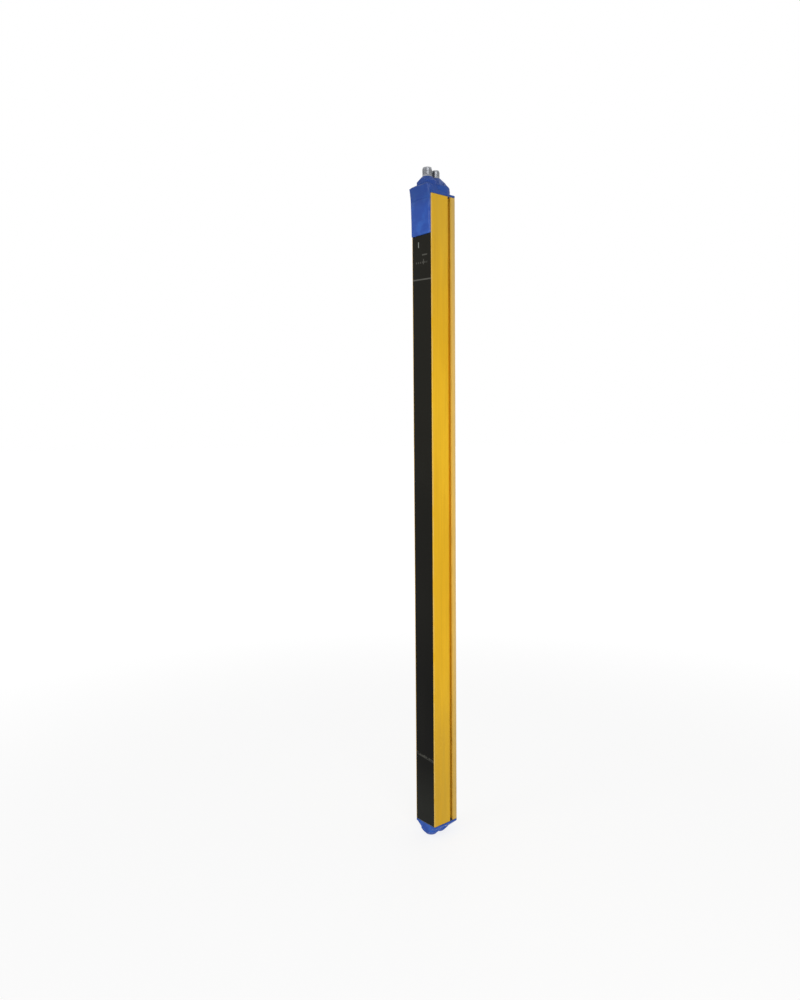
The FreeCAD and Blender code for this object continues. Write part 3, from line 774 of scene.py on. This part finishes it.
def rear_dome(centre):
    """A collar that slopes up round the smaller connector's tower, hollow under its roof."""
    dome = add_round("dome", centre, dome_radius, dome_foot, dome_shoulder, dome_sides)
    pick("FACE", is_cap(1))
    extrude_by(dome_top - dome_shoulder)
    share = dome_crown / dome_radius
    crown = (centre.x, centre.y, dome_top)
    bpy.ops.transform.resize(value=(share, share, 1), center_override=crown)
    pick("FACE", is_cap(-1))
    bpy.ops.mesh.inset(thickness=dome_wall)
    extrude_by(dome_recess)
    bpy.ops.mesh.inset(thickness=dome_radius - dome_wall - dome_crown)
    pick("FACE", is_disc(dome_sides))
    bpy.ops.mesh.delete(type="FACE")
    pick_open_rims()
    bpy.ops.mesh.bridge_edge_loops()
    bevel_edges(dome_shoulder, dome_round, 4)
    face_outwards()
    bpy.ops.object.mode_set(mode="OBJECT")
    for side in (1, -1):
        spot = Vector((side * pocket_across, pocket_y, 0))
        pocket = add_round("pocket", spot, pocket_radius, cap_seat, dome_top + mm, 40)
        bpy.ops.object.mode_set(mode="OBJECT")
        subtract(dome, pocket)
    return dome


def valley_pips(centre):
    """Two small pips that close the roof where the towers' crowns meet."""
    pips = []
    for side in (1, -1):
        spot = Vector((side * pip_across, centre.y - pip_forward, 0))
        pip = add_round("pip", spot, pip_radius, pip_low, pip_high, 24)
        bevel_edges(pip_high, mould_round)
        bpy.ops.object.mode_set(mode="OBJECT")
        pips.append(pip)
    return pips


def upper_cap():
    """The cap under the connectors: trimmed at the rear, with the sloping collar on it."""
    centre, _ = connector_axis("extension")
    piece = merged_copy("upper_cap")
    subtract(piece, rear_trimmer(centre))
    soften(piece)
    finish_moulding("upper_cap", [piece, rear_dome(centre), *valley_pips(centre)])


# ---- floor, light and camera ----
floor_radius = 30.0
camera_place = Vector((0.8654, -0.8153, 0.1302))
camera_turn = math.radians(50.136)
camera_tilt = math.radians(4.956)
camera_roll = math.radians(-0.529)
camera_lens = 28.394
camera_sensor = 36.0


def seen_directly(wiring):
    """1 for what the camera sees straight, mirrored or through glass, 0 for light on the object."""
    rays = wiring.node("ShaderNodeLightPath", output=None)
    kinds = ("Is Camera Ray", "Is Glossy Ray", "Is Transmission Ray")
    straight, mirrored, through = [Value(wiring, rays.outputs[kind]) for kind in kinds]
    return straight.most(mirrored).most(through)


def studio_floor():
    """A pale floor that fades to white away from the bar and keeps its shadow."""
    clear_selection()
    below = (0, 0, cad_box[0].z)
    bpy.ops.mesh.primitive_circle_add(
        vertices=96, radius=floor_radius, fill_type="NGON", location=below
    )
    floor = bpy.context.object
    floor.name = "floor"
    pale = {"Base_Color": (0.92, 0.92, 0.92, 1), "Roughness": 0.9, "Specular_IOR_Level": 0.0}
    ground = Finish("pale_floor", **pale)
    lit = Value(ground, ground.shader.outputs["BSDF"])
    glow = ground.node("ShaderNodeEmission", {}, {"Strength": 1.06})
    length = {"operation": "LENGTH"}
    away = ground.node("ShaderNodeVectorMath", length, {0: ground.place}, output="Value")
    near, far, least, most = 450.0, 2000.0, 0.76, 1.0
    smooth = {"interpolation_type": "SMOOTHSTEP"}
    span = {0: away, 1: near, 2: far, 3: least, 4: most}
    fade = ground.node("ShaderNodeMapRange", smooth, span)
    parts = {0: seen_directly(ground) * fade, 1: lit, 2: glow}
    ground.show(ground.node("ShaderNodeMixShader", {}, parts), "Material Output")
    floor.data.materials.append(ground.material)


def studio_world():
    """An even grey light all round, which itself looks white in view, mirrored or through glass."""
    world = bpy.data.worlds.new("studio")
    bpy.context.scene.world = world
    world.use_nodes = True
    sky = Wiring(world.node_tree)
    ambient = sky.tree.nodes["Background"]
    ambient.inputs["Color"].default_value = (1, 1, 1, 1)
    ambient.inputs["Strength"].default_value = 0.5
    grey = Value(sky, ambient.outputs["Background"])
    plain = {"Color": (1, 1, 1, 1), "Strength": 1.0}
    white = sky.node("ShaderNodeBackground", {}, plain)
    parts = {0: seen_directly(sky), 1: grey, 2: white}
    sky.show(sky.node("ShaderNodeMixShader", {}, parts), "World Output")


def soft_lamp(name, place, size, power):
    """A square soft lamp that faces the middle of the bar."""
    lamp = bpy.data.lights.new(name, "AREA")
    lamp.size = size
    lamp.energy = power
    stand = bpy.data.objects.new(name, lamp)
    stand.location = place
    stand.rotation_mode = "QUATERNION"
    stand.rotation_quaternion = (-Vector(place)).to_track_quat("-Z", "Y")
    bpy.context.collection.objects.link(stand)


def camera():
    """Looks a little down on the bar from its front right."""
    level = math.cos(camera_tilt)
    sideways = math.sin(camera_turn) * level
    back = Vector((sideways, -math.cos(camera_turn) * level, math.sin(camera_tilt)))
    right = Vector((0, 0, 1)).cross(back).normalized()
    up = back.cross(right)
    rolled_right = right * math.cos(camera_roll) + up * math.sin(camera_roll)
    rolled_up = up * math.cos(camera_roll) - right * math.sin(camera_roll)
    turned = Matrix((rolled_right, rolled_up, back)).transposed()
    data = bpy.data.cameras.new("camera")
    data.lens = camera_lens
    data.sensor_width = camera_sensor
    data.clip_start = 0.01
    eye = bpy.data.objects.new("camera", data)
    eye.matrix_world = Matrix.Translation(camera_place) @ turned.to_4x4()
    bpy.context.collection.objects.link(eye)
    bpy.context.scene.camera = eye


def main():
    """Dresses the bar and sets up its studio."""
    dress_cad_nodes()
    connector_shell("supply")
    connector_shell("extension")
    connector_contacts("supply", count=8, circle=3.4 * mm)
    connector_contacts("extension", count=5, circle=2.75 * mm)
    cap_screws(1)
    cap_screws(-1)
    upper_cap()
    moulded("lower_cap", [lower_cap_rib()])
    moulded("head_cover")
    studio_floor()
    studio_world()
    soft_lamp("key", place=(1.45, -0.75, 0.05), size=0.9, power=10.3)
    soft_lamp("fill", place=(-0.4, -2.8, 0.5), size=1.2, power=10)
    soft_lamp("rear", place=(-1.6, 1.9, 0.6), size=1.6, power=9)
    camera()
    bpy.context.scene.view_settings.view_transform = "Standard"


main()
